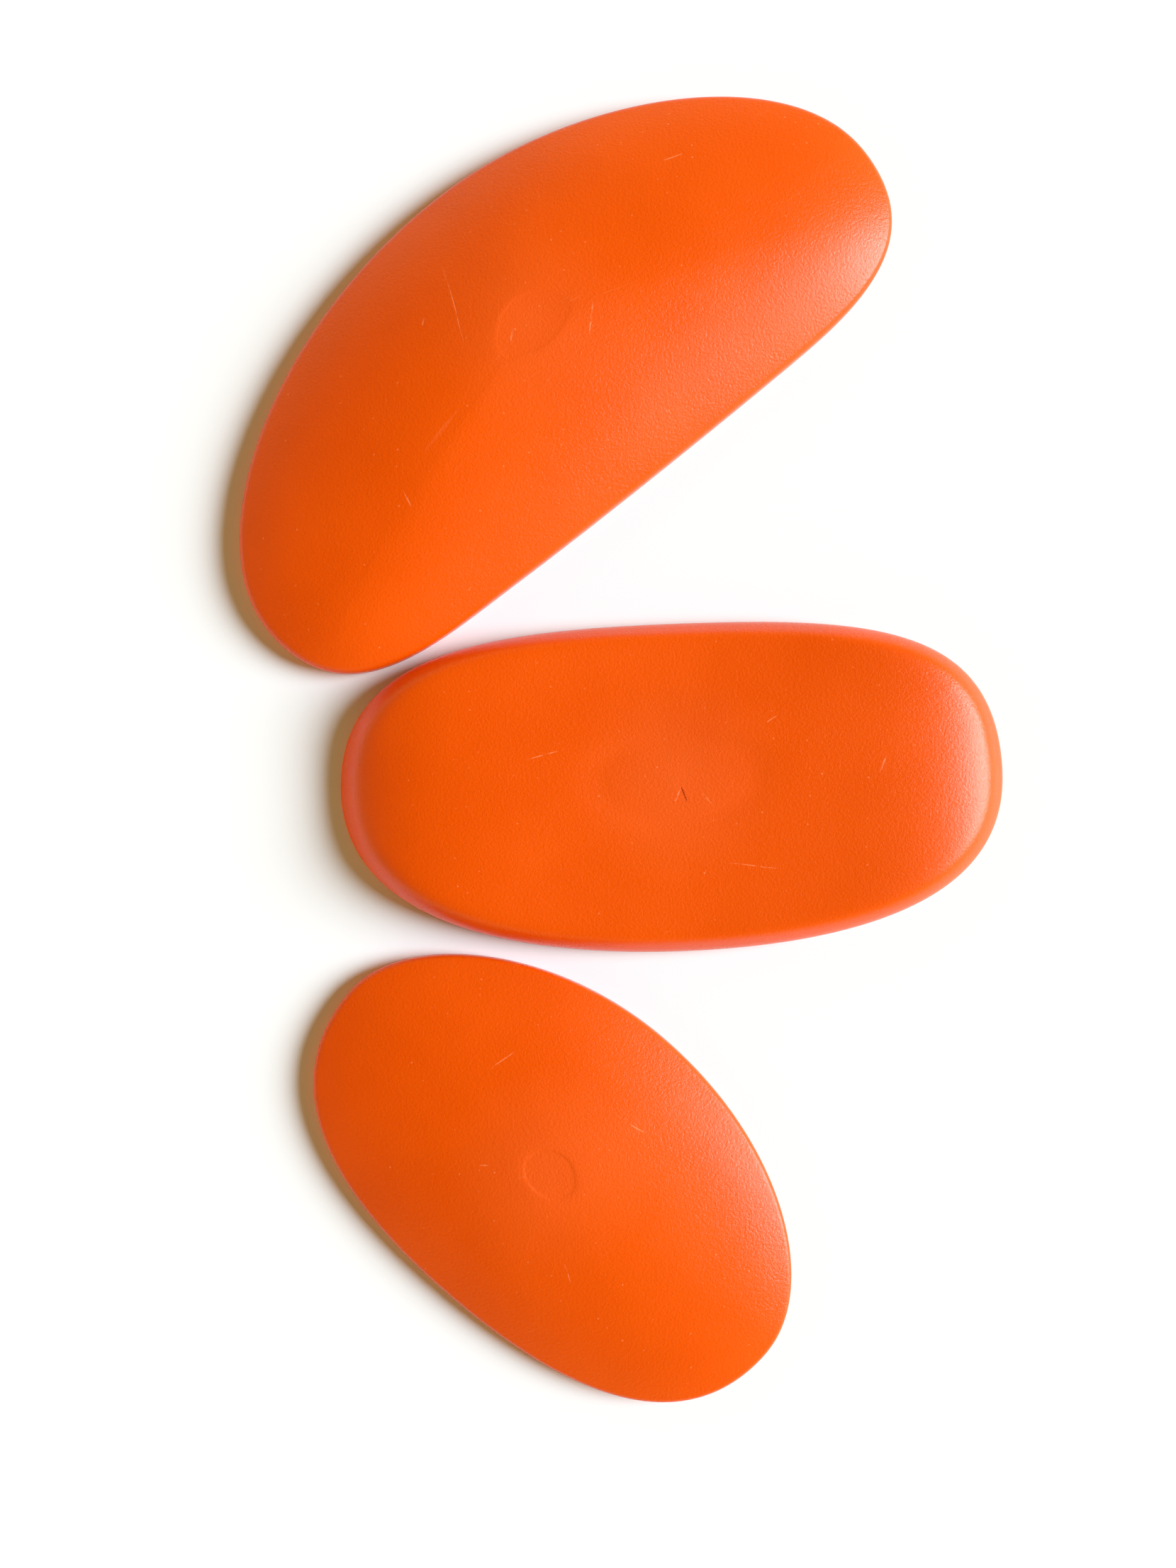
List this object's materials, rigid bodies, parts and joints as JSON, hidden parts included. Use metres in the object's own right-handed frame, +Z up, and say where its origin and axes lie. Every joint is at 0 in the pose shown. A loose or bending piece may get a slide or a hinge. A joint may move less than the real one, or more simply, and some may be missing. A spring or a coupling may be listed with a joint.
{
  "type": "leaf grabber hands",
  "caption": "Loose dish-shaped plastic palm scoops with half-moon, oblong and egg outlines, lying hollow side down, for gathering leaves by hand.",
  "frame": {"origin": "middle of the row of hands, on the surface that they lie on", "axes": "+Z up out of that surface; +Y along the row from the egg-shaped hand to the half-moon one; +X across the row, along the oblong hand to within 2.3 degrees"},
  "size_m": [0.2141, 0.365, 0.0206],
  "materials": {
    "orange_polypropylene": "fine moulded satin grain"
  },
  "bodies": {
    "oblong": {"oblong_hand": "orange_polypropylene"},
    "half_moon": {"half_moon_hand": "orange_polypropylene"},
    "egg": {"egg_hand": "orange_polypropylene"}
  },
  "joints": [
    {"name": "half_moon_lift", "type": "slide", "parent": "oblong", "child": "half_moon", "axis": [0, 0, 1], "range_m": [0, 0.12]},
    {"name": "egg_lift", "type": "slide", "parent": "oblong", "child": "egg", "axis": [0, 0, 1], "range_m": [0, 0.12]}
  ]
}
